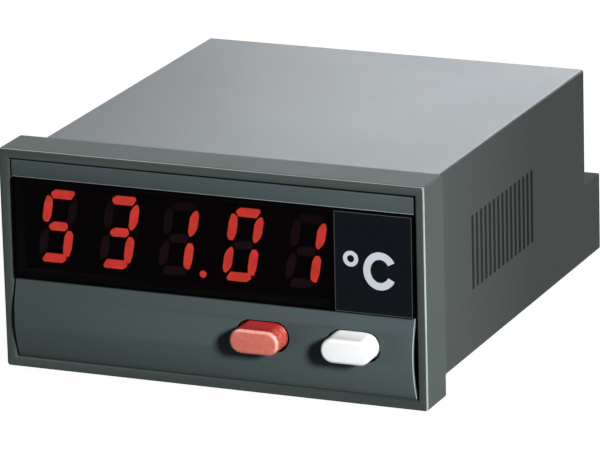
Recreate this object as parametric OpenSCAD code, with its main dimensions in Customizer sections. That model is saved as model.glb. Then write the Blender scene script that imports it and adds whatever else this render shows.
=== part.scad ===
// Digital panel meter: a 96 x 48 mm front with five LED digits and two push-buttons,
// on a plastic case that goes into a panel from the front and ends in a lower rear ledge
// with two plug-in terminal blocks.
// Frame: X to the right seen from the front, Y into the panel, Z up. The origin is the
// middle of the panel cut-out, in the plane of the panel's front face.

/* [Front bezel] */
// Width of the front bezel
front_w = 96; // [94:1:104]
// Height of the front bezel
front_h = 48; // [47:1:52]
// Depth of the front bezel, ahead of the panel
front_d = 10; // [9.5:0.5:12]
// Width of the bezel's upright bars
bar_side = 2.1; // [1.7:0.1:2.2]
// Height of the bezel's upper and lower bars
bar_top = 2.1; // [1.9:0.1:2.3]
// Radius of the bezel's four corners
front_r = 0.7; // [0.3:0.1:0.9]

/* [Case] */
// Width of the case behind the panel
case_w = 90; // [89:0.5:91]
// Height of the case behind the panel
case_h = 44; // [43.6:0.2:44.4]
// Depth of the upper part of the case, behind the panel
case_d = 92; // [88:1:120]
// Length of the lower rear ledge, behind the upper part
ledge_d = 9.5; // [8:0.5:14]
// Height of the lower rear ledge
ledge_h = 17.6; // [17.2:0.2:22]
// Thickness of the case's walls
wall = 2; // [1.8:0.1:2.1]
// Radius of the case's long edges
case_r = 0.6; // [0.3:0.1:0.9]

/* [Ventilation] */
// Slots on each side of the case
vent_count = 15; // [4:1:16]
// Distance from one slot to the next
vent_pitch = 2.5; // [2.3:0.1:2.9]
// Width of a slot
vent_w = 1.3; // [0.8:0.1:1.5]
// Height of a slot
vent_h = 16.2; // [6:0.2:22]
// Distance from the panel to the first slot's middle
vent_y = 24.1; // [12:0.5:32]

/* [Front insert] */
// Gap on each side between the insert and the bezel
insert_gap_side = 0.6; // [0.4:0.1:0.8]
// Gap above the insert
insert_gap_top = 0.5; // [0.3:0.1:0.6]
// Gap below the insert
insert_gap_bottom = 0.15; // [0.1:0.05:0.3]
// How far the upper strip lies behind the bezel's front
strip_sink = 0.6; // [0.3:0.1:0.9]
// Height of the upper strip
strip_h = 3.65; // [3.2:0.1:4.5]
// Height of the bowed lower apron
apron_h = 17.35; // [16.5:0.2:18]
// How far the apron bows out of its chord
apron_bow = 1.8; // [0.6:0.1:2]
// Thickness of the bowed sheet
apron_t = 0.8; // [0.6:0.1:1.1]

/* [Window and display] */
// Thickness of the window
window_t = 1.5; // [1.2:0.1:1.8]
// How far the window's lower edge stands ahead of its upper edge
window_lean = 0.3; // [0:0.1:0.5]
// Width of the unit label on the window
label_w = 17.1; // [14:0.1:17.6]
// Height of a digit
digit_h = 16; // [12:0.1:16.4]
// Width of a digit from the middle of its left strokes to the middle of its right ones
digit_w = 5.8; // [5:0.1:6.6]
// Thickness of a stroke
stroke_w = 1.9; // [1.4:0.1:2.2]
// Slant of the digits in degrees
slant = 9.7; // [0:0.1:12]

/* [Buttons] */
// Length of a button's face
button_w = 11.1; // [9:0.1:13]
// Height of a button's face
button_h = 5.3; // [4.6:0.1:6]
// How far a button stands out of the apron
button_reach = 4.7; // [2:0.1:7]
// Travel of a button
button_travel = 0.8; // [0.4:0.1:1]
// Gap around a button in the apron
button_gap = 0.6; // [0.3:0.05:0.7]
// Distance between the two buttons
button_pitch = 20.4; // [17:0.1:22]

/* [Terminals] */
// Poles in each plug-in terminal block
pole_count = 6; // [2:1:7]
// Distance from one pole to the next
pole_pitch = 5.08; // [5:0.04:5.08]

/* [Hidden] */
$fn = 48;
eps = 0.01;

// Bezel and its opening
open_x = front_w / 2 - bar_side;
open_z = front_h / 2 - bar_top;
bezel_y = -front_d;
seat_y = -3;                     // ledge inside the bezel that the insert rests on
shoulder_y = -1;                 // the case's shoulder sits in a rebate behind the bezel
spigot_in = 1.1;                 // step from the case's outside to its front spigot
spigot_x = case_w / 2 - spigot_in;
spigot_z = case_h / 2 - spigot_in;
spigot_gap = 0.1;                // sliding gap between the case and the bezel

// Inside of the case
in_x = case_w / 2 - wall;
in_z = case_h / 2 - wall;
ledge_z = ledge_h - case_h / 2;  // top of the rear ledge
end_y = case_d + ledge_d;        // rear face of the ledge

// Insert
ins_x = open_x - insert_gap_side;
ins_top = open_z - insert_gap_top;
ins_bottom = -open_z + insert_gap_bottom;
strip_y = bezel_y + strip_sink;
strip_z = ins_top - strip_h;     // lower edge of the upper strip
apron_z = ins_bottom + apron_h;  // upper edge of the apron
apron_mid = (ins_bottom + apron_z) / 2;
apron_front = strip_y - apron_bow;
apron_r = apron_h * apron_h / (8 * apron_bow) + apron_bow / 2;
rim_t = 1.5;
rim_y = seat_y - rim_t;          // front of the insert's rear rim
web_t = 1.2;

// Window: its back lies on a leaning seat
win_gap = 0.15;
win_top = strip_z - win_gap;
win_bottom = apron_z + win_gap;
win_back = strip_y + 0.95;       // back of the window at its upper edge
label_t = 0.2;
label_inset = 0.25;
label_x = ins_x - 0.15 - label_w;

// Opening in the insert ahead of the digits
digit_count = 5;
digit_gap = 1.2;                 // between two digit housings
view_edge = 1.85;                // rim left between the opening and the insert's end
view_label_gap = 0.95;           // from the opening to the label
row_gap = 0.12;                  // from the first digit's housing to the case
view_left = -min(ins_x - view_edge, in_x + digit_gap / 2 - row_gap);
view_right = label_x - view_label_gap;
digit_pitch = (view_right - view_left) / digit_count;
module_w = digit_pitch - digit_gap;
module_edge = 1.1;               // housing above and below its digit
module_h = digit_h + 2 * module_edge;
module_d = 8;
digit_rise = 0.4;                // digits above the window's middle
digit_z = (win_top + win_bottom) / 2 + digit_rise;
view_gap = 0.3;
view_top = digit_z + module_h / 2 + view_gap;
view_bottom = digit_z - module_h / 2 - view_gap;

// Digits: modules stand on the display board
board_t = 1.6;
board_y = 0.8;                   // front of the display board
board_gap = 0.6;                 // play of the board in the case
board_x = in_x - board_gap;
board_z = in_z - board_gap;
digit_face = board_y - module_d;
digit_3_shift = -0.5;            // the middle module sits a little to the left
stroke_shift = 0.4;              // the strokes sit a little to the right in their housing
stroke_t = 0.2;
point_r = 0.75;
shown = ["afgcd", "abgcd", "bc.", "abcdef", "bc"];
strokes = "abcdefg.";

// Buttons
white_in = 13.2;                 // white button's middle, from the insert's end
white_x = ins_x - white_in;
red_x = white_x - button_pitch;
button_rise = 2;                 // buttons above the apron's middle
button_z = apron_mid + button_rise;
button_face = apron_front - button_reach;
button_edge = 0.5;               // chamfer round a button's face
flange_x = 1.1;                  // how far the flange reaches past the button's body
flange_y = strip_y + 2.2;        // front of the flange, in the space behind the apron
flange_t = 1.4;
stem_r = 2;
plunger_l = 2.8;
plunger_r = 1.7;
plunger_gap = 0.2;
switch_w = 6;
switch_d = 3.5;
plunger_out = 1.7;               // how far the plunger stands out of its switch
plunger_y = board_y - switch_d - plunger_out;
switch_bore = plunger_l - plunger_out + button_travel + 0.1;
hatch_gap = 1.4;                 // room round the buttons' flanges in the insert's rim

// Screws of the display board: two below, one beside the digits
post_r = 1.8;
post_edge = 0.6;                 // board left outside a post
screw_r = 0.8;
screw_gap = 0.15;
screw_head_r = 1.5;
screw_head_t = 1.2;
screw_bite = 2.4;                // length of thread in a post
post_low = -board_z + post_r + post_edge;
posts = [
    [-board_x + post_r + post_edge, post_low],
    [board_x - post_r - post_edge, post_low],
    [label_x + label_w / 2, digit_z + module_h / 4]
];

// Main board and what stands on it
main_lift = 1.5;                 // board above the case's floor
main_top = -in_z + main_lift + board_t;
main_x = in_x - 1;
main_y = board_y + board_t + 2.6;
main_end = end_y - wall - 1;
rail_w = 1.5;
rail_h = 1.2;
rail_gap = 0.1;
rail_end = case_d - 7;

connector_w = 28;
connector_h = 2.6;
chip_h = 3.2;
chip_w = 7.4;
chip_lift = 0.6;                 // chip above the board, on its legs
leg_pitch = 2.54;
leg_t = 0.5;
controller_legs = 13;
controller_x = 8;
converter_legs = 7;
converter_x = -24;
chip_y = main_y + 19;
crystal_y = chip_y + 10;
crystal_w = 11;
crystal_t = 4.7;
crystal_h = 4.5;
crystal_flange = 0.6;

core_w = 30;
core_h = 25;
core_t = 11;
core_leg = 10;
core_x = -22;
core_slot_w = (core_w - 2 * core_leg) / 2;
core_slot_h = core_h - core_leg;
coil_gap = 0.2;
bobbin_t = 0.8;

capacitor_d = 10;
capacitor_h = 17;
capacitor_x = [6, 19];
vent_d = 8.4;                    // scored top of a capacitor
vent_t = 0.3;
sink_x = 33;
sink_w = 12;
sink_h = 18;
sink_t = 1.6;
fin_l = 5;
fin_t = 1;
fin_pitch = 2.6;

// Terminal blocks
block_gap = 3.4;                 // from the middle of the case to a block
block_edge = 0.7;                // block beyond its outer poles
block_w = pole_count * pole_pitch + 2 * block_edge;
block_x = block_gap + block_w / 2;
block_h = 10;
header_d = 11;
header_end = end_y - 4;
header_y = header_end - header_d;
header_wall = 1.1;
header_floor = 3;
plug_gap = 0.3;
plug_end = end_y + 2;
pin_t = 1;
pin_gap = 0.25;
pin_tail = 0.6;                  // pin behind its header
entry_w = 3;                     // wire entry of a pole
entry_h = 2.8;
entry_z = 1;
screw_z = 7;                     // height of the terminal screws above the board
clamp_r = 1.8;
clamp_gap = 0.1;
clamp_sink = 1.2;
clamp_depth = 5;

power_gap = 23.5;                // from the headers to the transformer's middle
power_y = header_y - power_gap;

// A rectangle with round corners, centred
module round_rect(w, h, r) {
    square([w - 2 * r, h], center = true);
    square([w, h - 2 * r], center = true);
    for (sx = [-1, 1], sz = [-1, 1])
        translate([sx * (w / 2 - r), sz * (h / 2 - r)]) circle(r);
}

// A rectangle with fully round ends, centred
module stadium(w, h) {
    square([w - h, h], center = true);
    for (s = [-1, 1]) translate([s * (w - h) / 2, 0]) circle(h / 2);
}

// Stands a drawing in X and Z up, reaching from y0 to y1
module upright(y0, y1) {
    translate([0, y1, 0]) rotate([90, 0, 0]) linear_extrude(y1 - y0) children();
}

// Runs a section in Y and Z from x0 to x1
module along_x(x0, x1) {
    translate([x0, 0, 0]) rotate([90, 0, 90]) linear_extrude(x1 - x0) children();
}

// A box between two corners
module box(a, b) {
    translate(a) cube(b - a);
}

// Height of the window's back face, which leans forward at its lower edge
function seat_at(z) = win_back - window_lean * (win_top - z) / (win_top - win_bottom);

// Section of a plate that lies on the window's seat line, between y offsets a and b
module leaning_plate(a, b, z0, z1) {
    polygon([
        [seat_at(z0) + a, z0], [seat_at(z0) + b, z0],
        [seat_at(z1) + b, z1], [seat_at(z1) + a, z1]
    ]);
}

// The bezel is one deep frame with a step inside for the insert
module front_bezel() color("#4a4d4e") {
    difference() {
        upright(bezel_y, 0) round_rect(front_w, front_h, front_r);
        upright(bezel_y - 1, seat_y) square([2 * open_x, 2 * open_z], center = true);
        upright(seat_y - eps, 0)
            square([2 * (spigot_x + spigot_gap), 2 * (spigot_z + spigot_gap)], center = true);
        upright(shoulder_y, 1)
            square([case_w + 2 * spigot_gap, case_h + 2 * spigot_gap], center = true);
    }
}

// Outline of the case in Y and Z, or of its hollow when it is shrunk by a wall
module case_side(t) {
    polygon([
        [shoulder_y, -case_h / 2 + t], [end_y - t, -case_h / 2 + t], [end_y - t, ledge_z - t],
        [case_d - t, ledge_z - t], [case_d - t, case_h / 2 - t], [shoulder_y, case_h / 2 - t]
    ]);
}

module vent_slots() {
    for (i = [0 : vent_count - 1])
        translate([0, vent_y + i * vent_pitch, 0])
            cube([case_w + 2, vent_w, vent_h], center = true);
}

// Two ribs on each side wall hold the main board's edges
module board_rails() {
    for (s = [-1, 1]) {
        edges = s > 0 ? [in_x - rail_w, in_x + eps] : [-in_x - eps, -in_x + rail_w];
        box([edges[0], main_y, -in_z - eps],
            [edges[1], rail_end, main_top - board_t - rail_gap]);
        box([edges[0], main_y, main_top + rail_gap],
            [edges[1], rail_end, main_top + rail_gap + rail_h]);
    }
}

// The case is one moulding: spigot, hollow body, slots, rails and the rear ledge
module case_shell() color("#46494a") {
    difference() {
        union() {
            intersection() {
                upright(shoulder_y, end_y) round_rect(case_w, case_h, case_r);
                along_x(-case_w / 2, case_w / 2) case_side(0);
            }
            upright(seat_y, shoulder_y + eps) square([2 * spigot_x, 2 * spigot_z], center = true);
        }
        along_x(-in_x, in_x) case_side(wall);
        upright(seat_y - 1, shoulder_y + 1) square([2 * in_x, 2 * in_z], center = true);
        vent_slots();
        for (s = [-1, 1])
            translate([s * block_x, 0, main_top + block_h / 2]) upright(end_y - wall - 1, end_y + 1)
                square([block_w + 2 * plug_gap, block_h + 2 * plug_gap], center = true);
    }
    board_rails();
}

// Section of the insert: strip, window seat, bowed apron, webs and rear rim
module insert_section() {
    intersection() {
        translate([apron_front + apron_r, apron_mid]) difference() {
            circle(apron_r, $fn = 180);
            circle(apron_r - apron_t, $fn = 180);
        }
        translate([apron_front - eps, ins_bottom]) square([apron_r, apron_h]);
    }
    polygon([[strip_y, strip_z], [rim_y, strip_z], [rim_y, ins_top], [strip_y, ins_top]]);
    leaning_plate(0, rim_y - win_back + window_lean, apron_z, strip_z);
    translate([strip_y, apron_z - web_t]) square([rim_y - strip_y, web_t]);
    translate([strip_y, ins_bottom]) square([rim_y - strip_y, web_t]);
    translate([rim_y, ins_bottom]) square([rim_t, ins_top - ins_bottom]);
}

module front_insert() color("#53585a") {
    hatch_w = button_w + 2 * (flange_x + hatch_gap);
    hatch_h = button_h + 2 * (flange_x + hatch_gap);
    difference() {
        along_x(-ins_x, ins_x) insert_section();
        box([view_left, bezel_y, view_bottom], [view_right, 0, view_top]);
        box([red_x - hatch_w / 2, rim_y - eps, button_z - hatch_h / 2],
            [white_x + hatch_w / 2, 0, button_z + hatch_h / 2]);
        for (x = [red_x, white_x]) translate([x, 0, button_z])
            upright(apron_front - 1, rim_y - 0.5)
                stadium(button_w + 2 * button_gap, button_h + 2 * button_gap);
    }
    for (p = posts) translate([p.x, 0, p.y]) difference() {
        upright(seat_y - eps, board_y) circle(post_r);
        upright(board_y - screw_bite - 0.2, board_y + 1) circle(screw_r);
    }
}

module display_window() color("#1a0506", 0.85) {
    along_x(-ins_x, ins_x) leaning_plate(-window_t, 0, win_bottom, win_top);
}

module unit_label() color("#12161c") {
    along_x(label_x, label_x + label_w)
        leaning_plate(-window_t - label_t, -window_t, win_bottom + label_inset, win_top - label_inset);
}

// Round-ended block whose front edge is chamfered all round
module chamfered_stadium(w, h, c, y0, y1) {
    upright(y0 + c, y1) stadium(w, h);
    for (s = [-1, 1]) translate([s * (w - h) / 2, y0 + c, 0]) rotate([90, 0, 0])
        cylinder(r1 = h / 2, r2 = h / 2 - c, h = c);
    along_x(-(w - h) / 2, (w - h) / 2) polygon([
        [y0, -h / 2 + c], [y0 + c, -h / 2], [y0 + c, h / 2], [y0, h / 2 - c]
    ]);
}

// A button: body, flange behind the apron, stem down to its switch
module button_at(x) {
    translate([x, 0, button_z]) {
        chamfered_stadium(button_w, button_h, button_edge, button_face, flange_y + flange_t);
        upright(flange_y, flange_y + flange_t)
            stadium(button_w + 2 * flange_x, button_h + 2 * flange_x);
        upright(flange_y + flange_t, plunger_y) circle(stem_r);
    }
}

module red_button() color("#c8443c") button_at(red_x);
module white_button() color("#f2f3f4") button_at(white_x);

module plunger_at(x) color("#2b2b2b")
    translate([x, 0, button_z]) upright(plunger_y, plunger_y + plunger_l) circle(plunger_r);

module red_plunger() plunger_at(red_x);
module white_plunger() plunger_at(white_x);

// A tact switch body with the bore that its plunger slides in
module switch_at(x) color("#222426")
    translate([x, 0, button_z]) difference() {
        upright(board_y - switch_d, board_y) square(switch_w, center = true);
        upright(board_y - switch_d - 1, board_y - switch_d + switch_bore)
            circle(plunger_r + plunger_gap);
    }

module red_switch() switch_at(red_x);
module white_switch() switch_at(white_x);

module display_board() color("#1f5a37") {
    difference() {
        upright(board_y, board_y + board_t) square([2 * board_x, 2 * board_z], center = true);
        for (p = posts) translate([p.x, 0, p.y])
            upright(board_y - 1, board_y + board_t + 1) circle(screw_r + screw_gap);
    }
}

module board_screws() color("#b9bcbf") {
    back = board_y + board_t;
    for (p = posts) translate([p.x, 0, p.y]) {
        upright(board_y - screw_bite, back + eps) circle(screw_r);
        difference() {
            upright(back, back + screw_head_t) circle(screw_head_r);
            upright(back + screw_head_t / 2, back + screw_head_t + 1)
                square([1.5 * screw_head_r, screw_r / 2], center = true);
        }
    }
}

// One digit's housing
function digit_x(i) = view_left + (i + 0.5) * digit_pitch + (i == 2 ? digit_3_shift : 0);

module digit_housing(i) color("#17181a")
    translate([digit_x(i), 0, digit_z])
        upright(digit_face, board_y) square([module_w, module_h], center = true);

module digit_1() digit_housing(0);
module digit_2() digit_housing(1);
module digit_3() digit_housing(2);
module digit_4() digit_housing(3);
module digit_5() digit_housing(4);

// Stroke outlines about their own middle: blunt tips that fit beside each other
half = stroke_w / 2;
long_h = digit_w / 2 - 0.4;          // half the length of a lying stroke
tall_h = digit_h / 4 - half - 0.25;  // half the height of a standing stroke
flat_stroke = [
    [-long_h + 0.8, half], [long_h, half], [long_h + 0.4, half * 0.4],
    [long_h - 0.3, -half], [-long_h + 0.6, -half], [-long_h, -half * 0.2], [-long_h, half * 0.3]
];
middle_stroke = [
    [-long_h + 1.4, half], [long_h - 0.8, half], [long_h - 0.35, half * 0.3],
    [long_h - 0.35, -half * 0.4], [long_h - 0.9, -half], [-long_h + 1, -half],
    [-long_h + 0.4, -half * 0.3], [-long_h + 0.5, half * 0.3]
];
tip_stroke = [
    [half * 0.55, tall_h], [half, tall_h - 1], [half, -tall_h + 1.9], [half * 0.6, -tall_h + 0.8],
    [-half * 0.1, -tall_h], [-half * 0.6, -tall_h], [-half, -tall_h + 0.9],
    [-half, tall_h - 1.6], [-half * 0.6, tall_h - 0.7], [0, tall_h]
];
hex_stroke = [
    [0, tall_h + 0.2], [half * 0.8, tall_h - 0.4], [half, tall_h - 1.6],
    [half, -tall_h + 1.4], [half * 0.5, -tall_h + 0.1], [-half * 0.4, -tall_h + 0.1],
    [-half, -tall_h + 1], [-half, tall_h - 1.6], [-half * 0.6, tall_h + 0.2]
];
stroke_z = digit_h / 2 - half;       // middle of the upper stroke
side_z = stroke_z / 2;               // middle of the side strokes
lean_in = 0.2;                       // the lower right stroke stands a little further in

function turned(pts) = [for (p = pts) -p];
function moved(pts, x, z) = [for (p = pts) p + [x, z]];
function slanted(pts) = [for (p = pts) [p.x + p.y * tan(slant), p.y]];

// Outline of a stroke in its digit, by its usual letter
function stroke_outline(s) =
    s == "a" ? moved(flat_stroke, 0, stroke_z) :
    s == "b" ? moved(tip_stroke, digit_w / 2, side_z) :
    s == "c" ? moved(turned(hex_stroke), digit_w / 2 - lean_in, -side_z) :
    s == "d" ? moved(turned(flat_stroke), lean_in, -stroke_z) :
    s == "e" ? moved(turned(tip_stroke), -digit_w / 2, -side_z) :
    s == "f" ? moved(hex_stroke, -digit_w / 2, side_z) :
    middle_stroke;

module stroke(i, s) {
    translate([digit_x(i), 0, digit_z]) upright(digit_face - stroke_t, digit_face)
        if (s == ".") translate([module_w / 2 - point_r, -digit_h / 2 + point_r]) circle(point_r);
        else translate([stroke_shift, 0]) polygon(slanted(stroke_outline(s)));
}

module lit_strokes() color("#e2301f") {
    for (i = [0 : digit_count - 1], s = strokes) if (len(search(s, shown[i])) > 0) stroke(i, s);
}

module unlit_strokes() color("#3a1114") {
    for (i = [0 : digit_count - 1], s = strokes) if (len(search(s, shown[i])) == 0) stroke(i, s);
}

module main_board() color("#1f5a37") {
    box([-main_x, main_y, main_top - board_t], [main_x, main_end, main_top]);
}

// Angled connector between the two boards
module board_connector() color("#1c1d1f") {
    box([-connector_w / 2, board_y + board_t, main_top],
        [connector_w / 2, main_y + 2 * leg_pitch, main_top + connector_h]);
}

// A chip on two rows of legs, lengthwise along X
module chip(x, legs) {
    translate([x, chip_y, main_top]) {
        box([-legs * leg_pitch / 2 - 1, -chip_w / 2, chip_lift],
            [legs * leg_pitch / 2 + 1, chip_w / 2, chip_lift + chip_h]);
        for (s = [-1, 1], i = [0 : legs - 1])
            translate([(i - (legs - 1) / 2) * leg_pitch, s * (chip_w + leg_t) / 2, chip_h / 3])
                cube([leg_t, leg_t, chip_h / 1.5], center = true);
    }
}

module microcontroller() color("#202225") chip(controller_x, controller_legs);
module converter_chip() color("#202225") chip(converter_x, converter_legs);

module crystal() color("#b9bcbf") {
    translate([controller_x, crystal_y, main_top]) {
        linear_extrude(crystal_flange) stadium(crystal_w, crystal_t);
        linear_extrude(crystal_h)
            stadium(crystal_w - 2 * crystal_flange, crystal_t - 2 * crystal_flange);
    }
}

// Laminated core with two windows, seen along Y
module transformer_core() color("#8a8d90") {
    translate([core_x, power_y, main_top + core_h / 2]) difference() {
        cube([core_w, core_t, core_h], center = true);
        for (s = [-1, 1]) translate([s * (core_leg + core_slot_w) / 2, 0, 0])
            cube([core_slot_w, core_t + 1, core_slot_h], center = true);
    }
}

// Winding on its bobbin, around the middle leg of the core
module transformer_coil() color("#c9a24a") {
    round_w = core_leg + 2 * (core_slot_w - coil_gap);
    round_d = core_t + 2 * (core_slot_w - coil_gap);
    translate([core_x, power_y, main_top + core_h / 2]) difference() {
        union() {
            cube([round_w - bobbin_t, round_d - bobbin_t, core_slot_h - 2 * coil_gap], center = true);
            for (s = [-1, 1])
                translate([0, 0, s * (core_slot_h / 2 - coil_gap - bobbin_t / 2)])
                    cube([round_w, round_d, bobbin_t], center = true);
        }
        cube([core_leg, core_t, core_slot_h], center = true);
    }
}

module capacitors() color("#26303c") {
    for (x = capacitor_x) translate([x, power_y, main_top]) {
        cylinder(d = capacitor_d, h = capacitor_h);
        cylinder(d = vent_d, h = capacitor_h + vent_t);
    }
}

// Voltage regulator's heat sink: a plate with fins
module regulator() color("#9da1a4") {
    translate([sink_x, power_y, main_top]) {
        translate([-sink_w / 2, -sink_t, 0]) cube([sink_w, sink_t, sink_h]);
        for (i = [-2 : 2]) translate([i * fin_pitch - fin_t / 2, -eps, 0])
            cube([fin_t, fin_l, sink_h]);
    }
}

// X of a pole from the middle of its block
function pole_x(i) = (i - (pole_count - 1) / 2) * pole_pitch;

// Square cuts of one size in line with every pole of a block
module pole_cuts(y0, y1, size) {
    for (i = [0 : pole_count - 1])
        translate([pole_x(i), 0, block_h / 2]) upright(y0, y1) square(size, center = true);
}

// Open-ended socket on the main board that a plug-in terminal goes into
module terminal_header(s) color("#2c2f31") {
    translate([s * block_x, 0, main_top]) difference() {
        box([-block_w / 2, header_y, 0], [block_w / 2, header_end, block_h]);
        box([-block_w / 2 + header_wall, header_y + header_floor, header_wall],
            [block_w / 2 - header_wall, header_end + 1, block_h - header_wall]);
        pole_cuts(header_y - 1, header_y + header_floor + 1, pin_t);
    }
}

module terminal_header_left() terminal_header(-1);
module terminal_header_right() terminal_header(1);

module terminal_pins() color("#b9bcbf") {
    for (s = [-1, 1]) translate([s * block_x, 0, main_top])
        pole_cuts(header_y - pin_tail, header_end - header_wall - pin_tail, pin_t);
}

// Plug with one wire entry and one screw shaft for each pole
module terminal_plug(s) color("#34383a") {
    nose = header_wall + plug_gap;
    translate([s * block_x, 0, main_top]) difference() {
        union() {
            box([-block_w / 2 + nose, header_y + header_floor + plug_gap, nose],
                [block_w / 2 - nose, header_end + eps, block_h - nose]);
            box([-block_w / 2, header_end, 0], [block_w / 2, plug_end, block_h]);
        }
        pole_cuts(header_y + header_floor, header_end - header_wall, pin_t + 2 * pin_gap);
        for (i = [0 : pole_count - 1]) translate([pole_x(i), 0, 0]) {
            box([-entry_w / 2, plug_end - clamp_depth, entry_z],
                [entry_w / 2, plug_end + 1, entry_z + entry_h]);
            translate([0, 0, screw_z])
                upright(plug_end - clamp_depth, plug_end + 1) circle(clamp_r + clamp_gap);
        }
    }
}

module terminal_plug_left() terminal_plug(-1);
module terminal_plug_right() terminal_plug(1);

module terminal_screws() color("#c2c5c7") {
    head = plug_end - clamp_sink;
    for (s = [-1, 1], i = [0 : pole_count - 1])
        translate([s * block_x + pole_x(i), 0, main_top + screw_z]) difference() {
            upright(plug_end - clamp_depth, head) circle(clamp_r);
            upright(head - 0.4 * clamp_r, head + 1) square([3 * clamp_r, clamp_r / 3], center = true);
        }
}

front_bezel();
case_shell();  // case
front_insert();
display_window();
unit_label();
red_button();
white_button();
red_plunger();
white_plunger();
red_switch();
white_switch();
display_board();
board_screws();
digit_1();
digit_2();
digit_3();
digit_4();
digit_5();
lit_strokes();
unlit_strokes();
main_board();
board_connector();
microcontroller();
converter_chip();
crystal();
transformer_core();
transformer_coil();
capacitors();
regulator();
terminal_header_left();
terminal_header_right();
terminal_pins();
terminal_plug_left();
terminal_plug_right();
terminal_screws();
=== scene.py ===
import math

import bmesh
import bpy
from bpy.props import FloatProperty, FloatVectorProperty, PointerProperty
from bpy.types import Operator, Panel, PropertyGroup
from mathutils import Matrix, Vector


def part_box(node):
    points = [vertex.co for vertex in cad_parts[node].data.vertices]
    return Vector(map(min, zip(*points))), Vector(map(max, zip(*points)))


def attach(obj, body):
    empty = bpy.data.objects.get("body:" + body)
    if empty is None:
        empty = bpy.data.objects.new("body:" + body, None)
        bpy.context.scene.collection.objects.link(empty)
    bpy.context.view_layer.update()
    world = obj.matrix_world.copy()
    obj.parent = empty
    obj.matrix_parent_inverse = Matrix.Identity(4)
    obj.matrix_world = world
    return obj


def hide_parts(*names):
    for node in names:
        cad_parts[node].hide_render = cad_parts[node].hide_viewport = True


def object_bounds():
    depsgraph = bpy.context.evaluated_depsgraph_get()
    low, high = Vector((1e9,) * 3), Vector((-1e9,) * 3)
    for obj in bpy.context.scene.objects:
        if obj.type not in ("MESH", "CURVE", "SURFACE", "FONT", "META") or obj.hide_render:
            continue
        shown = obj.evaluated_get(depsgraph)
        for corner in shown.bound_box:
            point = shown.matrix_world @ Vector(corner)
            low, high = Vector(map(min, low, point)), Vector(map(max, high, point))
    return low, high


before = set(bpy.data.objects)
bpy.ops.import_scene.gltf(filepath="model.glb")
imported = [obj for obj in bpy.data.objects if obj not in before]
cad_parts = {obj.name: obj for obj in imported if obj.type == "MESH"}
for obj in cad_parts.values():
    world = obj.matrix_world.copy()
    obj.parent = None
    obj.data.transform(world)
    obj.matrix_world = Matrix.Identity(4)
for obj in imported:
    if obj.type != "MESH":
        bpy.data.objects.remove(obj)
CAD_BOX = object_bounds()

bl_info = {
    "name": "Digital Panel Meter",
    "version": (1, 0, 0),
    "blender": (4, 5, 0),
    "location": "3D View > Sidebar > Panel Meter",
    "description": "Builds and finishes the five-digit panel meter piece by piece",
    "category": "Object",
}

MM = 0.001
NEAR = 0.01 * MM  # two places that are closer than this count as one
DIGITS = [f"digit_{i}" for i in range(1, 6)]


# ---------------------------------------------------------------- sizes and colours

def length(name, description, default, top=0.01):
    return FloatProperty(name=name, description=description, default=default, min=0.0,
                         max=top, precision=5, unit="LENGTH", subtype="DISTANCE")


def power(name, description, default):
    return FloatProperty(name=name, description=description, default=default, min=0.0,
                         unit="POWER")


def colour(name, description, default):
    return FloatVectorProperty(name=name, description=description, default=default,
                               size=3, min=0.0, max=1.0, subtype="COLOR")


class MeterSizes(PropertyGroup):
    bezel_edge: length("Bezel edge", "Radius of the bezel's front edges", 0.00036)
    insert_edge: length("Insert edge", "Radius of the insert's edges", 0.0002)
    window_edge: length("Window edge", "Radius of the window's edges", 0.00015)
    button_edge: length("Button edge", "Rounding of a button's chamfer", 0.00025)
    stroke_corner: length("Stroke corner", "Rounding of a digit's strokes", 0.0001)
    plug_edge: length("Plug edge", "Chamfer round the rear of a terminal plug", 0.00012)
    label_line: length("Label outline", "Width of the label's light outline", 0.00012)
    ink: length("Ink", "How far the printed unit stands on its label", 0.00003)
    ring_across: length("Ring across", "Label's left side to the degree ring's middle", 0.0036)
    ring_up: length("Ring up", "Meter's middle to the degree ring's middle", 0.00745)
    ring_radius: length("Ring radius", "Outer radius of the degree ring", 0.00168)
    ring_hole: length("Ring hole", "Inner radius of the degree ring", 0.00078)
    sign_across: length("Letter across", "Label's left side to the letter's middle", 0.01005, 0.02)
    sign_up: length("Letter up", "Meter's middle to the letter's middle", 0.00535)
    sign_width: length("Letter width", "Width of the printed unit letter", 0.0071, 0.02)
    sign_height: length("Letter height", "Height of the printed unit letter", 0.0081, 0.02)
    sign_stroke: length("Letter stroke", "Stroke width of the printed unit letter", 0.00158)


class MeterColours(PropertyGroup):
    bezel: colour("Bezel", "Dark grey moulded plastic of the bezel", (0.0465, 0.0590, 0.0550))
    case: colour("Case", "Smoother grey plastic of the case", (0.034, 0.041, 0.039))
    # Painted shade: the case's colour darkens towards this one at its rear.
    case_rear_shade: colour("Case rear shade", "The same plastic at the back", (0.012, 0.016, 0.015))
    insert: colour("Insert", "Grey plastic of the strip and the apron", (0.054, 0.072, 0.074))
    window: colour("Window", "Dark red filter in front of the digits", (0.0012, 0.0006, 0.0008))
    label: colour("Label", "Blue-black unit label", (0.0024, 0.0036, 0.0052))
    ink: colour("Ink", "Pale print of the unit", (0.50, 0.54, 0.60))
    red: colour("Red button", "Red button plastic", (0.38, 0.028, 0.026))
    red_face: colour("Red button face", "Frosted face of the red button", (0.56, 0.150, 0.115))
    white: colour("White button", "White button plastic", (0.82, 0.83, 0.84))
    lit: colour("Lit stroke", "Light of a lit stroke", (1.0, 0.070, 0.052))
    unlit: colour("Unlit stroke", "Clear stroke that is off", (0.060, 0.018, 0.022))
    board: colour("Circuit board", "Green solder resist", (0.012, 0.085, 0.035))


class StageSettings(PropertyGroup):
    floor_size: length("Floor size", "Width of the pale floor", 6.0, 20.0)
    key_power: power("Key light", "Power of the lamp from the right", 95.0)
    rear_power: power("Rear light", "Power of the wide softbox behind", 34.0)
    left_power: power("Left light", "Power of the softbox at the left rear", 6.0)
    side_power: power("Side light", "Power of the small softbox beside the case", 0.18)


# ---------------------------------------------------------------- modelling

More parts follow.
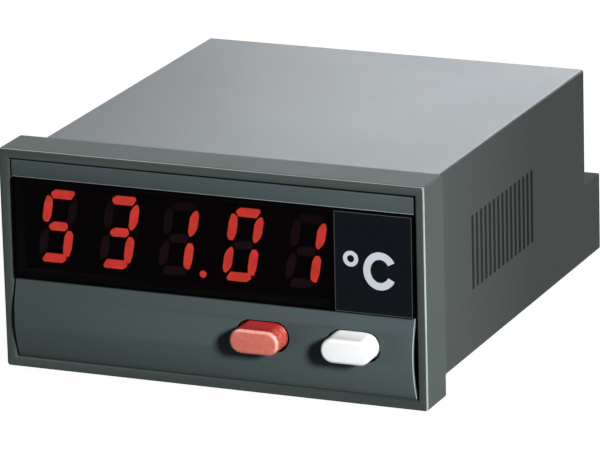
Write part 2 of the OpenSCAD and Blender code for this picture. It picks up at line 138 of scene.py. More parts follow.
MERGE_GAP = 0.002 * MM  # corners of a solid's triangles that are closer than this are one
FLAT_WITHIN = 0.4  # degrees between faces that still count as one flat face


def deselect():
    bpy.ops.object.select_all(action="DESELECT")


def select_only(piece):
    deselect()
    piece.select_set(True)
    bpy.context.view_layer.objects.active = piece


def settle(piece):
    """Writes the piece's place and size into its mesh."""
    select_only(piece)
    bpy.ops.object.transform_apply(location=True, rotation=True, scale=True)
    return piece


def apply_modifier(piece, kind, **settings):
    select_only(piece)
    modifier = piece.modifiers.new(kind.title(), kind)
    for key, value in settings.items():
        setattr(modifier, key, value)
    bpy.ops.object.modifier_apply(modifier=modifier.name)


def start_edit(piece, kind, test):
    """Opens the piece for editing, with only those of its parts selected that pass the test."""
    select_only(piece)
    bpy.ops.object.mode_set(mode="EDIT")
    bpy.ops.mesh.select_mode(type=kind)
    bpy.ops.mesh.select_all(action="DESELECT")
    mesh = bmesh.from_edit_mesh(piece.data)
    mesh.normal_update()
    for part in {"VERT": mesh.verts, "EDGE": mesh.edges, "FACE": mesh.faces}[kind]:
        if test(part):
            part.select_set(True)
    mesh.select_flush_mode()
    bmesh.update_edit_mesh(piece.data)


def edit_faces(piece, test):
    start_edit(piece, "FACE", lambda face: test(face.calc_center_median(), face.normal))


def edit_all(piece, kind="FACE"):
    start_edit(piece, kind, lambda part: True)


def end_edit():
    bpy.ops.object.mode_set(mode="OBJECT")


def is_sharp(edge, degrees):
    return len(edge.link_faces) == 2 and edge.calc_face_angle(0) > math.radians(degrees)


def one_depth(edge, slack=NEAR):
    """Edges that run neither forward nor back."""
    return abs(edge.verts[0].co.y - edge.verts[1].co.y) < slack


def round_edges(piece, width, segments=2, test=lambda edge: True, degrees=30):
    """Bevels those of the sharp edges that pass the test."""
    start_edit(piece, "EDGE", lambda edge: is_sharp(edge, degrees) and test(edge))
    bpy.ops.mesh.bevel(offset=width, segments=segments, affect="EDGES", clamp_overlap=True)
    end_edit()


def smooth(piece, degrees=35):
    select_only(piece)
    bpy.ops.object.shade_smooth_by_angle(angle=math.radians(degrees))


def copy_of(node, name):
    """A copy of a solid with its loose triangles merged into whole faces."""
    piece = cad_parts[node].copy()
    piece.data = piece.data.copy()
    piece.name = name
    piece.parent = None
    bpy.context.scene.collection.objects.link(piece)
    piece.data.materials.clear()
    for key in list(piece.keys()):
        del piece[key]
    edit_all(piece, "VERT")
    bpy.ops.mesh.remove_doubles(threshold=MERGE_GAP)
    bpy.ops.mesh.dissolve_limited(angle_limit=math.radians(FLAT_WITHIN))
    end_edit()
    return piece


def finish_piece(piece, body, slot, finish, *nodes):
    """Gives a new piece its material, the body it rides on and the solids it stands for."""
    piece.data.materials.clear()
    piece.data.materials.append(finish)
    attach(piece, body)
    if nodes:
        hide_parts(*nodes)


def second_finish(piece, finish, test):
    """Gives the faces that pass the test a material of their own."""
    piece.data.materials.append(finish)
    for face in piece.data.polygons:
        if test(face.center, face.normal):
            face.material_index = len(piece.data.materials) - 1


def finish_node(node, finish):
    """Gives a solid that stays as it is its material."""
    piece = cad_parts[node]
    piece.data.materials.clear()
    piece.data.materials.append(finish)


def is_front(normal):
    """Faces that look out of the panel."""
    return normal.y < -0.9


def is_bevel(normal):
    """Faces between the front and the sides round it."""
    return -0.98 < normal.y < -0.2


# ---------------------------------------------------------------- shader nodes

class NodeBoard:
    """Places shader nodes in a tree and joins them."""

    def __init__(self, owner):
        """Starts on an empty tree: that of a material or a world, or a node group itself."""
        if isinstance(owner, bpy.types.NodeTree):
            self.tree = owner
        else:
            owner.use_nodes = True
            self.tree = owner.node_tree
            self.tree.nodes.clear()
        self.count = 0

    def add(self, kind, **settings):
        node = self.tree.nodes.new(kind)
        node.location = (self.count * 190, -60 * (self.count % 5))
        self.count += 1
        for key, value in settings.items():
            setattr(node, key, value)
        return node

    def join(self, source, target):
        self.tree.links.new(source, target)

    def feed(self, value, target):
        """Sets a socket to a number or a colour, or joins an output to it."""
        if isinstance(value, (int, float)):
            target.default_value = value
        elif isinstance(value, tuple):
            target.default_value = (*value, 1)
        else:
            self.join(value, target)

    def place(self):
        """Object coordinates, which every pattern lies on."""
        return self.add("ShaderNodeTexCoord").outputs["Object"]

    def split(self, vector):
        node = self.add("ShaderNodeSeparateXYZ")
        self.join(vector, node.inputs[0])
        return node.outputs

    def stretch(self, vector, scale, turn=(0.0, 0.0, 0.0)):
        node = self.add("ShaderNodeMapping")
        node.inputs["Scale"].default_value = scale
        node.inputs["Rotation"].default_value = turn
        self.join(vector, node.inputs["Vector"])
        return node.outputs["Vector"]

    def maths(self, operation, a, b, clamp=False):
        node = self.add("ShaderNodeMath", operation=operation, use_clamp=clamp)
        self.feed(a, node.inputs[0])
        self.feed(b, node.inputs[1])
        return node.outputs[0]

    def noise(self, vector, scale, detail, roughness=0.5):
        node = self.add("ShaderNodeTexNoise")
        self.feed(scale, node.inputs["Scale"])
        self.feed(detail, node.inputs["Detail"])
        self.feed(roughness, node.inputs["Roughness"])
        self.join(vector, node.inputs["Vector"])
        return node.outputs["Fac"]

    def around_zero(self, value, amount):
        """A pattern from 0 to 1 moved to lie evenly about 0, times an amount."""
        return self.maths("MULTIPLY", self.maths("SUBTRACT", value, 0.5), amount)

    def span(self, value, low, high, new_low=0.0, new_high=1.0):
        """Maps low..high to new_low..new_high, and holds the ends."""
        node = self.add("ShaderNodeMapRange")
        self.join(value, node.inputs["Value"])
        for key, number in (("From Min", low), ("From Max", high),
                            ("To Min", new_low), ("To Max", new_high)):
            self.feed(number, node.inputs[key])
        return node.outputs["Result"]

    def blend(self, factor, a, b):
        node = self.add("ShaderNodeMix", data_type="RGBA", blend_type="MIX")
        self.feed(factor, node.inputs[0])
        self.feed(a, node.inputs[6])
        self.feed(b, node.inputs[7])
        return node.outputs[2]

    def relief(self, shader, height, distance):
        """Raises the surface of a shader by a height that changes over it."""
        node = self.add("ShaderNodeBump")
        node.inputs["Distance"].default_value = distance
        self.join(height, node.inputs["Height"])
        self.join(node.outputs["Normal"], shader.inputs["Normal"])

    def seen(self):
        """1 where the camera, a mirror or glass looks, and 0 for light that falls on things."""
        rays = self.add("ShaderNodeLightPath").outputs
        through = self.maths("MAXIMUM", rays["Is Glossy Ray"], rays["Is Transmission Ray"])
        return self.maths("MAXIMUM", rays["Is Camera Ray"], through)


# ---------------------------------------------------------------- shared effects

FLOAT, COLOUR = "NodeSocketFloat", "NodeSocketColor"


def new_group(name, takes, gives):
    group = bpy.data.node_groups.new(name, "ShaderNodeTree")
    for socket, kind, default in takes:
        made = group.interface.new_socket(socket, in_out="INPUT", socket_type=kind)
        made.default_value = default
    for socket, kind in gives:
        group.interface.new_socket(socket, in_out="OUTPUT", socket_type=kind)
    board = NodeBoard(group)
    return group, board, board.add("NodeGroupInput").outputs, board.add("NodeGroupOutput").inputs


def moulded_grain():
    """Fine spark-eroded grain with faint clouding, flow streaks and smoother worn patches."""
    group, board, takes, gives = new_group(
        "Moulded Grain",
        [("Colour", COLOUR, (0.1, 0.1, 0.1, 1)), ("Clouding", FLOAT, 0.08),
         ("Grain Size", FLOAT, 3500.0), ("Streaks", FLOAT, 0.2),
         ("Roughness", FLOAT, 0.5), ("Rubbed", FLOAT, 0.1)],
        [("Colour", COLOUR), ("Roughness", FLOAT), ("Height", FLOAT)],
    )
    place = board.place()
    grain = board.noise(place, scale=takes["Grain Size"], detail=2.0, roughness=0.6)
    pits = board.add("ShaderNodeTexVoronoi", feature="F1")
    board.join(place, pits.inputs["Vector"])
    board.join(board.maths("MULTIPLY", takes["Grain Size"], 0.6), pits.inputs["Scale"])
    cloud = board.noise(place, scale=55.0, detail=3.0, roughness=0.55)
    patches = board.noise(place, scale=21.0, detail=4.0, roughness=0.6)
    along = board.stretch(place, (12.0, 160.0, 160.0))
    streak = board.noise(along, scale=2.2, detail=3.0, roughness=0.65)

    flow = board.around_zero(streak, takes["Streaks"])
    clouded = board.around_zero(cloud, takes["Clouding"])
    speck = board.around_zero(grain, 0.10)
    level = board.maths("ADD", board.maths("ADD", board.maths("ADD", clouded, flow), speck), 1.0)
    shade = board.add("ShaderNodeVectorMath", operation="SCALE")
    board.join(takes["Colour"], shade.inputs[0])
    board.join(level, shade.inputs["Scale"])
    board.join(shade.outputs[0], gives["Colour"])

    worn = board.maths("MULTIPLY", board.span(patches, 0.45, 0.75), takes["Rubbed"])
    rough = board.maths("SUBTRACT", takes["Roughness"], worn)
    rough = board.maths("ADD", rough, board.maths("MULTIPLY", flow, 0.25))
    rough = board.maths("ADD", rough, board.maths("MULTIPLY", speck, 0.5), clamp=True)
    board.join(rough, gives["Roughness"])

    pitted = board.maths("ADD", grain, board.maths("MULTIPLY", pits.outputs["Distance"], 0.8))
    board.join(board.maths("ADD", pitted, board.maths("MULTIPLY", flow, 0.6)), gives["Height"])
    return group


def edge_wear_and_highlight():
    """1 along the edges of a piece, broken up as wear is; the paler edges it makes are partly wear
    and partly painted highlight.
    """
    group, board, takes, gives = new_group(
        "Edge Wear", [("Radius", FLOAT, 0.0004), ("Break-up", FLOAT, 500.0)], [("Mask", FLOAT)])
    rounded = board.add("ShaderNodeBevel", samples=4)
    board.join(takes["Radius"], rounded.inputs["Radius"])
    shape = board.add("ShaderNodeNewGeometry")
    agree = board.add("ShaderNodeVectorMath", operation="DOT_PRODUCT")
    board.join(rounded.outputs["Normal"], agree.inputs[0])
    board.join(shape.outputs["Normal"], agree.inputs[1])
    edge = board.span(agree.outputs["Value"], 0.80, 0.99, 1.0, 0.0)
    chips = board.noise(board.place(), scale=takes["Break-up"], detail=3.0, roughness=0.6)
    broken = board.span(chips, 0.35, 0.65, 0.4, 1.0)
    board.join(board.maths("MULTIPLY", edge, broken, clamp=True), gives["Mask"])
    return group


def dust():
    """A light settling of dust on faces that look up, and in a few smudges."""
    group, board, takes, gives = new_group("Dust", [("Amount", FLOAT, 0.05)], [("Mask", FLOAT)])
    normal = board.split(board.add("ShaderNodeNewGeometry").outputs["Normal"])
    place = board.place()
    specks = board.span(board.noise(place, scale=900.0, detail=4.0, roughness=0.7), 0.56, 0.74)
    smudge = board.span(board.noise(place, scale=34.0, detail=4.0, roughness=0.6), 0.4, 0.8,
                        0.1, 1.0)
    upward = board.span(normal["Z"], -0.2, 1.0, 0.25, 1.0)
    mask = board.maths("MULTIPLY", board.maths("MULTIPLY", specks, smudge), upward)
    board.join(board.maths("MULTIPLY", mask, takes["Amount"], clamp=True), gives["Mask"])
    return group


def frosted_face():
    """Frosting of a face that looks out of the panel, paler speckles on faces turned to the right,
    and a painted highlight along the chamfer's right and top.
    """
    group, board, takes, gives = new_group(
        "Frosted Face", [("Spots", FLOAT, 1300.0)], [("Mask", FLOAT), ("Rim", FLOAT)])
    normal = board.split(board.add("ShaderNodeNewGeometry").outputs["True Normal"])
    spots = board.noise(board.place(), scale=takes["Spots"], detail=3.0, roughness=0.6)
    frosting = board.maths("MULTIPLY", board.span(normal["Y"], -0.72, -0.45, 1.0, 0.0),
                           board.span(spots, 0.3, 0.6, 0.7, 1.0))
    # Paler speckles on faces turned to the right.
    paler_right_faces = board.maths("MULTIPLY", board.span(normal["X"], 0.2, 0.7),
                         board.span(spots, 0.42, 0.62, 0.15, 1.0))
    board.join(board.maths("MAXIMUM", frosting, paler_right_faces, clamp=True), gives["Mask"])

    # Painted highlight: chamfer facets turned to the right and up are paled, where the light
    # catches them.
    beside = board.span(normal["Y"], -0.97, -0.88)
    ahead = board.span(normal["Y"], -0.40, -0.25, 1.0, 0.0)
    toward_light = board.span(board.maths("ADD", normal["X"], normal["Z"]), -0.1, 0.5)
    rim_highlight = board.maths("MULTIPLY", board.maths("MULTIPLY", beside, ahead), toward_light)
    board.join(board.maths("MULTIPLY", rim_highlight, board.span(spots, 0.35, 0.6, 0.5, 1.0), clamp=True),
               gives["Rim"])
    return group


def painted_rear_shade():
    """Painted shade: 0 at the open front of the case and 1 towards its rear, with a soft uneven
    border.
    """
    group, board, takes, gives = new_group(
        "Depth Fade", [("Front", FLOAT, 0.0), ("Rear", FLOAT, 0.06)], [("Mask", FLOAT)])
    place = board.place()
    cloud = board.noise(place, scale=40.0, detail=3.0, roughness=0.6)
    depth = board.maths("ADD", board.split(place)["Y"],
                        board.span(cloud, 0.0, 1.0, -6 * MM, 6 * MM))
    board.join(board.span(depth, takes["Front"], takes["Rear"]), gives["Mask"])
    return group


EFFECTS = {"Moulded Grain": moulded_grain, "Edge Wear": edge_wear_and_highlight, "Dust": dust,
           "Frosted Face": frosted_face, "Depth Fade": painted_rear_shade}
GROUPS = {}


def effect(board, name, **values):
    """Places a shared effect, which is built once, with values of its own."""
    if name not in GROUPS:
        GROUPS[name] = EFFECTS[name]()
    node = board.add("ShaderNodeGroup", node_tree=GROUPS[name])
    for key, value in values.items():
        node.inputs[key.replace("_", " ")].default_value = value
    return node.outputs


# ---------------------------------------------------------------- materials

DUST_TINT = (0.55, 0.54, 0.52)


def toned(tint, factor):
    """The same tint, darker below a factor of 1 and lighter above it."""
    return tuple(c * factor for c in tint)


def new_material(name, tint):
    made = bpy.data.materials.new(name)
    made.diffuse_color = (*tint, 1)
    board = NodeBoard(made)
    shader = board.add("ShaderNodeBsdfPrincipled")
    board.join(shader.outputs[0], board.add("ShaderNodeOutputMaterial").inputs["Surface"])
    return made, board, shader


def plastic(name, tint, roughness, grain=3500.0, depth=0.00001, clouding=0.08, streaks=0.1,
            rubbed=0.1, edge=0.35, edge_radius=0.0003, edge_tint=None, dusty=0.06, face_tint=None,
            rim_highlight_tint=None, rear_shade_tint=None, specular=0.5):
    """Moulded plastic: grain, flow streaks, worn patches, paler edges that are partly wear and
    partly painted highlight, and a little dust; where given, a paler face, a painted highlight
    along its chamfer and painted shade towards the rear.
    """
    made, board, shader = new_material(name, tint)
    grained = effect(board, "Moulded Grain", Colour=(*tint, 1), Clouding=clouding,
                     Grain_Size=grain, Streaks=streaks, Roughness=roughness, Rubbed=rubbed)
    colour_now = grained["Colour"]
    if face_tint:
        frosted = effect(board, "Frosted Face")
        colour_now = board.blend(frosted["Mask"], colour_now, face_tint)
        # Painted highlight along the chamfer.
        colour_now = board.blend(frosted["Rim"], colour_now, rim_highlight_tint)
    if rear_shade_tint:
        # Painted shade: the case's colour darkens towards its rear.
        colour_now = board.blend(effect(board, "Depth Fade")["Mask"], colour_now, rear_shade_tint)
    # Paler edges: partly wear, partly painted highlight.
    worn = effect(board, "Edge Wear", Radius=edge_radius)["Mask"]
    paler = edge_tint or tuple(min(1.0, c * 2.0 + 0.01) for c in tint)
    colour_now = board.blend(board.maths("MULTIPLY", worn, edge), colour_now, paler)
    settled = effect(board, "Dust", Amount=dusty)["Mask"]
    board.join(board.blend(settled, colour_now, DUST_TINT), shader.inputs["Base Color"])
    board.join(grained["Roughness"], shader.inputs["Roughness"])
    board.relief(shader, grained["Height"], depth)
    shader.inputs["Specular IOR Level"].default_value = specular
    return made


def metal(name, tint, roughness, brushed=0.3):
    """Plated metal: drawn lines, small scratches and dull spots."""
    made, board, shader = new_material(name, tint)
    place = board.place()
    lines = board.noise(board.stretch(place, (300.0, 300.0, 4000.0)), scale=1.0, detail=3.0,
                        roughness=0.6)
    dulled = board.span(board.noise(place, scale=420.0, detail=4.0, roughness=0.6), 0.4, 0.75)
    board.join(board.blend(board.maths("MULTIPLY", dulled, 0.5), tint, toned(tint, 0.62)),
               shader.inputs["Base Color"])
    level = board.maths("ADD", board.around_zero(lines, brushed), roughness)
    board.join(board.maths("ADD", level, board.maths("MULTIPLY", dulled, 0.18), clamp=True),
               shader.inputs["Roughness"])
    board.relief(shader, lines, 0.000006)
    shader.inputs["Metallic"].default_value = 1.0
    return made


def resist(name, tint):
    """Green solder resist over fine copper runs."""
    made, board, shader = new_material(name, tint)
    place = board.place()
    bricks = board.add("ShaderNodeTexBrick")
    board.join(board.stretch(place, (260.0, 260.0, 260.0), (0.0, 0.0, math.radians(90))),
               bricks.inputs["Vector"])
    bricks.inputs["Mortar Size"].default_value = 0.06
    runs = bricks.outputs["Fac"]
    mottle = board.noise(place, scale=240.0, detail=3.0)
    base = board.blend(board.maths("MULTIPLY", mottle, 0.35), tint, toned(tint, 1.8))
    board.join(board.blend(board.maths("MULTIPLY", runs, 0.6), base, (0.05, 0.17, 0.06)),
               shader.inputs["Base Color"])
    board.join(board.span(mottle, 0.3, 0.7, 0.28, 0.42), shader.inputs["Roughness"])
    board.relief(shader, runs, 0.00003)
    return made


def filter_glass(name, tint):
    """Dark red acrylic: the digits behind it show through, with faint wiping marks."""
    made, board, shader = new_material(name, tint)
    place = board.place()
    marks = board.noise(board.stretch(place, (40.0, 300.0, 420.0)), scale=1.0, detail=4.0,
                        roughness=0.6)
    specks = board.span(board.noise(place, scale=1500.0, detail=2.0), 0.72, 0.80)
    board.join(board.blend(board.maths("MULTIPLY", specks, 0.04), tint, (0.3, 0.28, 0.28)),
               shader.inputs["Base Color"])
    board.join(board.span(marks, 0.3, 0.7, 0.10, 0.20), shader.inputs["Roughness"])
    board.relief(shader, marks, 0.000002)
    shader.inputs["Alpha"].default_value = 0.85
    shader.inputs["Specular IOR Level"].default_value = 0.01
    return made


def light_channel(name, tint, glow, strength, painted_shade_top=1.0):
    """Glowing channel of a digit, slightly uneven: real light where the stroke is lit, painted
    light where it is off, and painted shade near the strip that shades it.
    """
    made, board, shader = new_material(name, tint)
    place = board.place()
    soft = board.noise(place, scale=420.0, detail=2.0)
    level = board.span(soft, 0.3, 0.7, 0.86, 1.10)
    # Painted shade: the upper half is dimmed where the strip's shadow falls.
    if painted_shade_top < 1.0:
        low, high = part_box("unlit_strokes")
        shaded = board.span(board.split(place)["Z"], (low.z + high.z) / 2, high.z, 1.0, painted_shade_top)
        level = board.maths("MULTIPLY", level, shaded)
    light = board.add("ShaderNodeVectorMath", operation="SCALE")
    light.inputs[0].default_value = glow
    board.join(level, light.inputs["Scale"])
    board.join(light.outputs[0], shader.inputs["Emission Color"])
    board.join(board.blend(board.span(soft, 0.3, 0.7, 0.0, 0.4), tint, toned(tint, 0.6)),
               shader.inputs["Base Color"])
    board.join(board.span(soft, 0.3, 0.7, 0.35, 0.5), shader.inputs["Roughness"])
    board.relief(shader, board.noise(place, scale=3000.0, detail=2.0), 0.000004)
    shader.inputs["Emission Strength"].default_value = strength
    return made


def chosen(key):
    """A colour as the user has set it."""
    return tuple(getattr(bpy.context.scene.meter_colours, key))


FINISHES = {
    "bezel_plastic": lambda name: plastic(
        name, chosen("bezel"), 0.74, grain=3800.0, depth=0.000022, clouding=0.10, streaks=0.03,
        edge=0.45, edge_tint=(0.24, 0.26, 0.26), dusty=0.04, specular=0.08),
    # Painted highlight: a pale copy of the bezel's plastic on the facets of its right and top
    # front edges.
    "bezel_rub": lambda name: plastic(
        name, (0.27, 0.30, 0.29), 0.45, grain=3800.0, clouding=0.9, streaks=0.3, edge=0.0,
        dusty=0.04),
    "insert_plastic": lambda name: plastic(
        name, chosen("insert"), 0.52, grain=3200.0, clouding=0.07, streaks=0.04, rubbed=0.07,
        edge=0.40, edge_radius=0.00022, edge_tint=(0.30, 0.34, 0.34), dusty=0.02, specular=0.06),
    # Painted highlight: a pale copy of the insert's plastic on the lip over the window and the
    # apron's right end.
    "insert_rub": lambda name: plastic(
        name, (0.31, 0.34, 0.34), 0.45, grain=3200.0, depth=0.000006, clouding=0.9, streaks=0.3,
        edge=0.0, dusty=0.02),
    # The case's plastic darkens towards its rear: painted shade.
    "case_plastic": lambda name: plastic(
        name, chosen("case"), 0.52, grain=2600.0, depth=0.000014, clouding=0.06, streaks=0.03,
        rubbed=0.02, edge=0.12, dusty=0.02, rear_shade_tint=chosen("case_rear_shade"), specular=0.08),
    # Painted light: a lighter, matt copy of the case's plastic for the ledge's top.
    "matt_ledge": lambda name: plastic(
        name, (0.062, 0.070, 0.068), 0.9, grain=2600.0, depth=0.00002, clouding=0.2, edge=0.2,
        dusty=0.02, specular=0.0),
    "window_filter": lambda name: filter_glass(name, chosen("window")),
    "label_foil": lambda name: plastic(
        name, chosen("label"), 0.45, grain=2400.0, depth=0.000004, clouding=0.12, streaks=0.05,
        edge=0.0, dusty=0.02, specular=0.05),
    "label_edge": lambda name: plastic(
        name, (0.058, 0.064, 0.068), 0.45, grain=2400.0, depth=0.000004, clouding=0.4, edge=0.0,
        dusty=0.02, specular=0.1),
    "print_ink": lambda name: plastic(
        name, chosen("ink"), 0.55, grain=5200.0, depth=0.000004, clouding=0.06, edge=0.0,
        dusty=0.02),
    # Red: the pale edge tint and the chamfer tint paint the highlight along the chamfer.
    "red_plastic": lambda name: plastic(
        name, chosen("red"), 0.40, grain=2400.0, depth=0.000004, streaks=0.05, edge=0.85,
        edge_radius=0.0005, edge_tint=(0.85, 0.46, 0.38), dusty=0.02,
        face_tint=chosen("red_face"), rim_highlight_tint=(0.80, 0.40, 0.33), specular=0.3),
    "white_plastic": lambda name: plastic(
        name, chosen("white"), 0.36, grain=2400.0, depth=0.000004, clouding=0.03, streaks=0.02,
        edge=0.1, edge_tint=(0.9, 0.9, 0.9), dusty=0.02),
    "black_plastic": lambda name: plastic(
        name, (0.018, 0.018, 0.020), 0.5, grain=3000.0, clouding=0.15, dusty=0.08),
    "digit_body": lambda name: plastic(
        name, (0.004, 0.004, 0.005), 0.6, grain=3000.0, depth=0.000008, clouding=0.2, edge=0.1,
        dusty=0.0, specular=0.15),
    "coil_tape": lambda name: plastic(
        name, (0.46, 0.30, 0.07), 0.38, grain=1400.0, clouding=0.3, streaks=0.5, dusty=0.08),
    "capacitor_sleeve": lambda name: plastic(
        name, (0.02, 0.03, 0.05), 0.32, grain=2400.0, depth=0.000006, clouding=0.12, dusty=0.05),
    "terminal_plastic": lambda name: plastic(
        name, (0.030, 0.034, 0.036), 0.55, grain=3000.0, clouding=0.12, streaks=0.02,
        rubbed=0.03, edge=0.3, dusty=0.05, specular=0.25),
    "circuit_board": lambda name: resist(name, chosen("board")),
    "plated_steel": lambda name: metal(name, (0.50, 0.51, 0.53), 0.30),
    "core_steel": lambda name: metal(name, (0.30, 0.31, 0.33), 0.42, brushed=0.5),
    "heat_sink": lambda name: metal(name, (0.55, 0.57, 0.58), 0.38),
    "plated_brass": lambda name: metal(name, (0.40, 0.39, 0.36), 0.40),
    "lit_red": lambda name: light_channel(name, (0.5, 0.03, 0.02), chosen("lit"), 23.0),
    # Painted light: strokes that are off glow faintly, and their top half gets painted shade.
    "unlit_red": lambda name: light_channel(
        name, chosen("unlit"), (0.110, 0.046, 0.060), 3.2, painted_shade_top=0.5),
}
MATERIALS = {}


def material(name):
    """The material of a finish, made when a piece first needs it."""
    if name not in MATERIALS:
        MATERIALS[name] = FINISHES[name](name)
    return MATERIALS[name]


# ---------------------------------------------------------------- pieces

class METER_OT_bezel(Operator):
    """Deep front frame with a step inside for the insert and a rebate for the case"""
    bl_idname = "meter.bezel"
    bl_label = "Bezel"

    def execute(self, context):
        low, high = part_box("front_bezel")
        piece = copy_of("front_bezel", "bezel_frame")

        def ahead(edge):
            return any(abs(v.co.y - low.y) < NEAR for v in edge.verts)

        def rubbed(centre, normal):
            """Facets of the right edge and the top edge that get a painted highlight."""
            right = centre.x > high.x - MM and 0.15 < normal.x < 0.9
            top = centre.z > high.z - MM and 0.5 < normal.z < 0.9
            return is_bevel(normal) and (right or top)

        round_edges(piece, context.scene.meter_sizes.bezel_edge, 3,
                    lambda edge: ahead(edge) and one_depth(edge))
        smooth(piece)
        finish_piece(piece, "meter", "bezel_plastic", material("bezel_plastic"), "front_bezel")
        # Painted highlight along the bezel's right and top front edges.
        second_finish(piece, material("bezel_rub"), rubbed)
        return {"FINISHED"}


class METER_OT_case(Operator):
    """Case with its slots, inner rails and the lower rear ledge"""
    bl_idname = "meter.case"
    bl_label = "Case"

    LEDGE = (10 * MM, 8 * MM)  # the ledge's top is this near the rear, and this near mid-height

    def execute(self, context):
        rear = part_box("case")[1].y
        from_rear, from_middle = self.LEDGE
        piece = copy_of("case", "case_shell")

        def on_ledge(centre, normal):
            """The upward face of the ledge, which gets painted light."""
            far_back = centre.y > rear - from_rear
            return normal.z > 0.9 and far_back and abs(centre.z) < from_middle

        smooth(piece)
        finish_piece(piece, "meter", "case_plastic", material("case_plastic"), "case")
        # Painted light on the ledge's top.
        second_finish(piece, material("matt_ledge"), on_ledge)
        return {"FINISHED"}


class METER_OT_insert(Operator):
    """Strip, window seat and bowed apron in one moulding"""
    bl_idname = "meter.insert"
    bl_label = "Front insert"

    def execute(self, context):
        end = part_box("front_insert")[1].x
        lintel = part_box("display_window")[1].z
        seat = -8.5 * MM  # the edges that show lie ahead of this depth
        piece = copy_of("front_insert", "front_insert_moulding")

        def ahead(edge):
            return all(v.co.y < seat for v in edge.verts)

        def lip(edge):
            return ahead(edge) and all(abs(v.co.z - lintel) < 0.3 * MM for v in edge.verts)

        def apron_end(edge):
            return ahead(edge) and all(abs(v.co.x) > end - NEAR and v.co.z < 0
                                       for v in edge.verts)

        def rubbed(centre, normal):
            """Facets of the lip over the window and of the apron's right end, which get a painted
            highlight.
            """
            over = normal.z < -0.15 and abs(centre.z - lintel) < MM
            right = normal.x > 0.15 and centre.x > end - MM
            return is_bevel(normal) and (over or right)

        for test in (lip, apron_end, ahead):
            round_edges(piece, context.scene.meter_sizes.insert_edge, 2, test, degrees=40)
        smooth(piece)
        finish_piece(piece, "meter", "insert_plastic", material("insert_plastic"), "front_insert")
        # Painted highlight on the lip over the window and the apron's right end.
        second_finish(piece, material("insert_rub"), rubbed)
        return {"FINISHED"}


class METER_OT_window(Operator):
    """Leaning window of dark red filter in front of the digits"""
    bl_idname = "meter.window"
    bl_label = "Window"

    def execute(self, context):
        piece = copy_of("display_window", "filter_window")
        round_edges(piece, context.scene.meter_sizes.window_edge)
        smooth(piece)
        finish_piece(piece, "meter", "window_filter", material("window_filter"), "display_window")
        return {"FINISHED"}


class METER_OT_label(Operator):
    """Unit label with its pale outline and the printed degree sign and letter"""
    bl_idname = "meter.label"
    bl_label = "Unit label"

    SINK = 0.01 * MM  # the print reaches this far into the label
    SPREAD = 1.04  # the letter's ring is wider by this, because its right side is cut away
    MOUTH = (0.30, 0.20)  # where the cut starts, and half its height, as shares of the letter

    def execute(self, context):
        sizes = context.scene.meter_sizes
        low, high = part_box("unit_label")
        piece = copy_of("unit_label", "unit_plate")
        edit_faces(piece, lambda centre, normal: is_front(normal))
        bpy.ops.mesh.inset(thickness=sizes.label_line, depth=0)
        end_edit()
        finish_piece(piece, "meter", "label_foil", material("label_foil"), "unit_label")
        middle = max((f for f in piece.data.polygons if is_front(f.normal)), key=lambda f: f.area)
        second_finish(piece, material("label_edge"), lambda centre, normal: is_front(normal)
                      and (centre - middle.center).length > MM)
        front_top = min(v.co.y for v in piece.data.vertices if v.co.z > high.z - NEAR)

        def front_at(z):
            """Depth of the leaning label's front at a height."""
            rise = (z - low.z) / (high.z - low.z)
            return low.y + rise * (front_top - low.y)

        ring = self.ring(low.x + sizes.ring_across, sizes.ring_up, sizes.ring_radius,
                         sizes.ring_hole)
        letter = self.letter(low.x + sizes.sign_across, sizes.sign_up, sizes.sign_width,
                             sizes.sign_height, sizes.sign_stroke)
        for sign, name in ((ring, "degree_ring"), (letter, "unit_letter")):
            sign.name = name
            for vertex in sign.data.vertices:
                vertex.co.y = front_at(vertex.co.z) + self.SINK
            self.turn_forward(sign)
            apply_modifier(sign, "SOLIDIFY", thickness=sizes.ink + self.SINK, offset=1.0)
            finish_piece(sign, "meter", "label_foil", material("print_ink"))
        return {"FINISHED"}

    def turn_forward(self, sign):
        edit_all(sign)
        bpy.ops.mesh.normals_make_consistent(inside=False)
        end_edit()
        if sum(f.normal.y for f in sign.data.polygons) > 0:
            edit_all(sign)
            bpy.ops.mesh.flip_normals()
            end_edit()

    def disc(self, x, z, radius):
        deselect()
        bpy.ops.mesh.primitive_circle_add(vertices=96, radius=radius, fill_type="NGON",
                                          rotation=(math.radians(90), 0, 0), location=(x, 0, z))
        return settle(bpy.context.object)

    def ring(self, x, z, outer, inner):
        piece = self.disc(x, z, outer)
        edit_all(piece)
        bpy.ops.mesh.inset(thickness=outer - inner, depth=0)
        bpy.ops.mesh.delete(type="FACE")
        end_edit()
        return piece

    def letter(self, x, z, width, height, stroke):
        """An open round letter: a ring, drawn narrower than high, without its right side."""
        piece = self.disc(x, z, height / 2)
        edit_all(piece, "VERT")
        bpy.ops.transform.resize(value=(width / height * self.SPREAD, 1, 1),
                                 center_override=(x, 0, z))
        end_edit()
        edit_all(piece)
        bpy.ops.mesh.inset(thickness=stroke, depth=0)
        bpy.ops.mesh.delete(type="FACE")
        end_edit()
        start, half = self.MOUTH
        edit_faces(piece, lambda centre, normal: centre.x - x > start * width
                   and abs(centre.z - z) < half * height)
        bpy.ops.mesh.delete(type="FACE")
        end_edit()
        return piece


